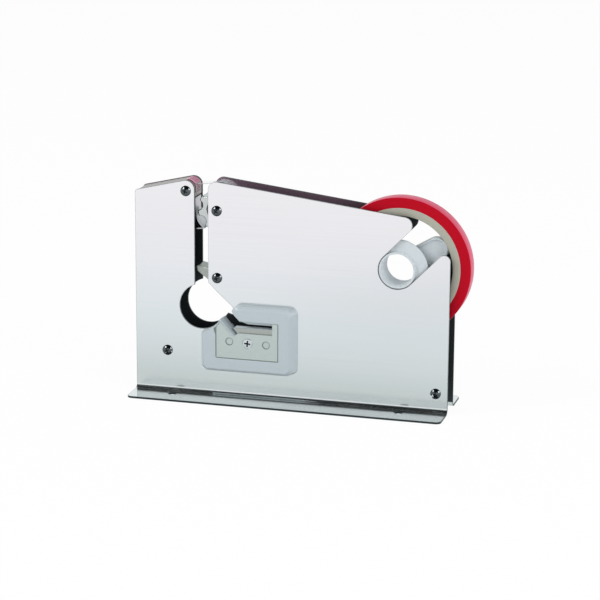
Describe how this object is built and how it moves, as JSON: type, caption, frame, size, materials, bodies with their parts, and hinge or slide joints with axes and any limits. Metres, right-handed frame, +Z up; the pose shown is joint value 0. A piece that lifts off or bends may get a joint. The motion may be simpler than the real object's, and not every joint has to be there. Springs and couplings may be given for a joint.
{
  "type": "bag neck sealer",
  "caption": "Counter-top bag neck sealer: slotted steel side plates with a tape roll on a lift-out hub, a star wheel, a sprung cheek, a blade lever and a neck trimmer.",
  "frame": {"origin": "centre of the four screw holes in the base flanges, at the underside of the flanges, on the mid-plane between the side plates", "axes": "+X along the plates towards the tape roll, -Y towards the user, +Z up"},
  "size_m": [0.2511, 0.07, 0.1616],
  "materials": {
    "stainless_sheet": "satin rolled stainless sheet",
    "zinc_steel": "zinc plated",
    "screw_steel": "dark bright plating",
    "cap_sheet": "formed sheet, satin",
    "star_casting": "cast, tumbled",
    "spring_steel": "hardened strip",
    "lever_casting": "cast, tumbled",
    "blade_steel": "ground edge",
    "trimmer_plastic": "moulded, fine texture",
    "trimmer_cover_metal": "satin",
    "cross_screw": "bright plating",
    "hub_plastic": "moulded, satin",
    "core_board": "moulded core",
    "tape_film": "glossy film"
  },
  "bodies": {
    "frame": {"front_side_plate": "stainless_sheet", "rear_side_plate": "stainless_sheet", "post_top_spacer": "zinc_steel", "post_foot_spacer": "zinc_steel", "corner_spacer": "zinc_steel", "star_wheel_axle": "zinc_steel", "lever_axle": "zinc_steel", "front_screws": "screw_steel", "rear_screws": "screw_steel", "post_cap": "cap_sheet", "tape_guide": "zinc_steel", "lever_stop": "zinc_steel", "lever_spring": "spring_steel", "trimmer_housing": "trimmer_plastic", "trimmer_cover": "trimmer_cover_metal", "trimmer_blade": "blade_steel", "trimmer_cover_screw": "cross_screw", "trimmer_fixing_screws": "screw_steel", "tape_web": "tape_film"},
    "star": {"star_wheel": "star_casting"},
    "cheek": {"pressure_leaf": "spring_steel"},
    "lever": {"blade_lever": "lever_casting", "cutter_blade": "blade_steel", "cutter_blade_screws": "screw_steel"},
    "hub": {"roll_hub": "hub_plastic"},
    "roll": {"tape_core": "core_board", "tape_winding": "tape_film"}
  },
  "joints": [
    {"name": "star_turn", "type": "hinge", "parent": "frame", "child": "star", "pos_m": [-0.0543, 0, 0.1401], "axis": [0, 1, 0], "continuous": true},
    {"name": "cheek_swing", "type": "hinge", "parent": "frame", "child": "cheek", "pos_m": [-0.0779, 0, 0.1536], "axis": [0, 1, 0], "range_deg": [0, 11], "stiffness_Nm_per_rad": 0.3, "springref_deg": -5.73},
    {"name": "lever_swing", "type": "hinge", "parent": "frame", "child": "lever", "pos_m": [-0.0541, 0, 0.0898], "axis": [0, -1, 0], "range_deg": [0, 55], "stiffness_Nm_per_rad": 0.03, "springref_deg": -34.38},
    {"name": "hub_lift", "type": "slide", "parent": "frame", "child": "hub", "axis": [0.6984, 0, 0.7157], "range_m": [0, 0.1], "deforming": ["tape_web"]},
    {"name": "roll_turn", "type": "hinge", "parent": "hub", "child": "roll", "pos_m": [0.0826, 0, 0.106], "axis": [0, 1, 0], "continuous": true}
  ]
}
